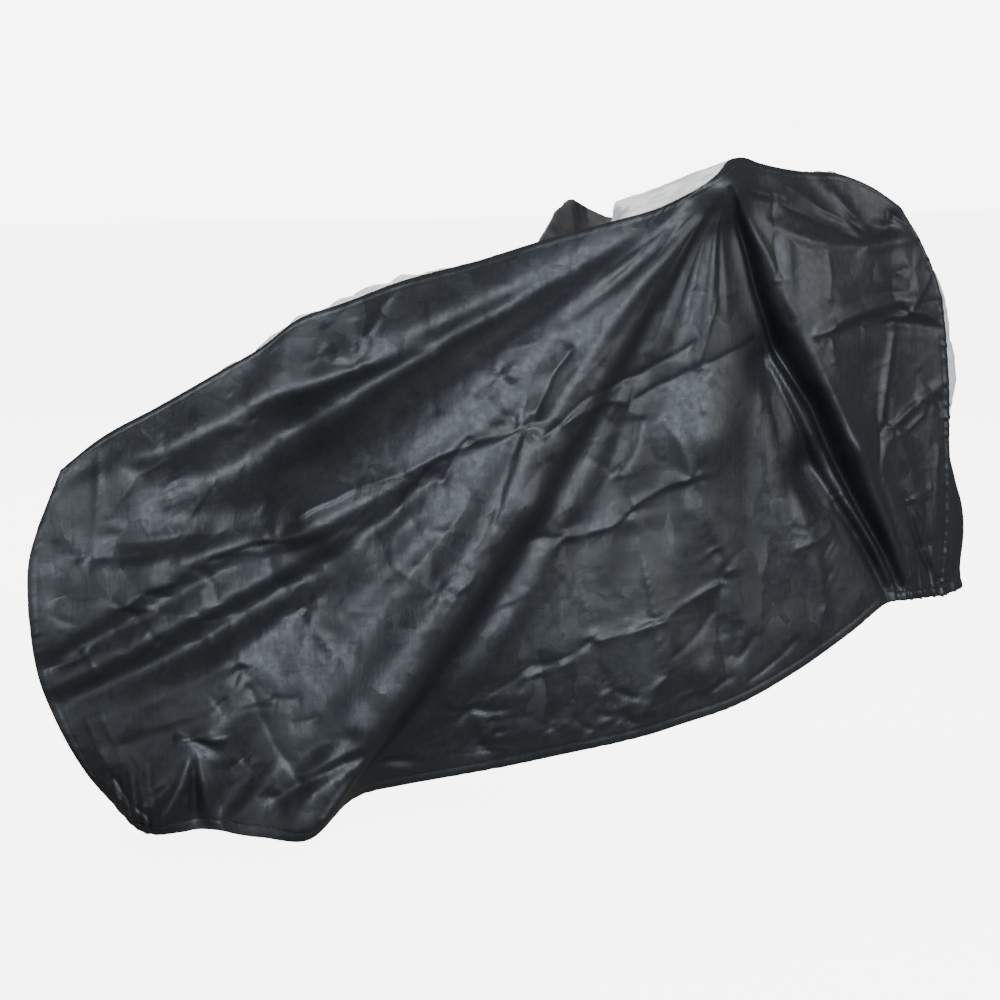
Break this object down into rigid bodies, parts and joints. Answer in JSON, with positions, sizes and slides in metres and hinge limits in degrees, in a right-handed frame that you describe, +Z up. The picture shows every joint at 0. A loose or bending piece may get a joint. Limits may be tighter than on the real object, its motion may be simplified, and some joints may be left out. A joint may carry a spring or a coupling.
{
  "type": "bicycle cover",
  "caption": "Fitted weather cover for an upright bicycle, draped over it: dark coated side panels and a light centre strip, with gathered hem ends.",
  "frame": {"origin": "mount handlebar_support: the underside of the centre strip over the middle of the handlebar, under the cover's top", "axes": "+X to the front of the bicycle and along the cover's length, +Y to the bicycle's left, +Z up"},
  "size_m": [1.7587, 0.6273, 1.0855],
  "materials": {
    "side_panel_right": "black polyester taffeta, coated, semi-gloss, with packing creases",
    "side_panel_left": "black polyester taffeta, coated, semi-gloss, with packing creases",
    "centre_strip": "silver-grey coated polyester, semi-gloss, finely creased"
  },
  "bodies": {
    "root": {"side_panel_right": "side_panel_right", "side_panel_left": "side_panel_left", "centre_strip": "centre_strip"}
  },
  "joints": []
}
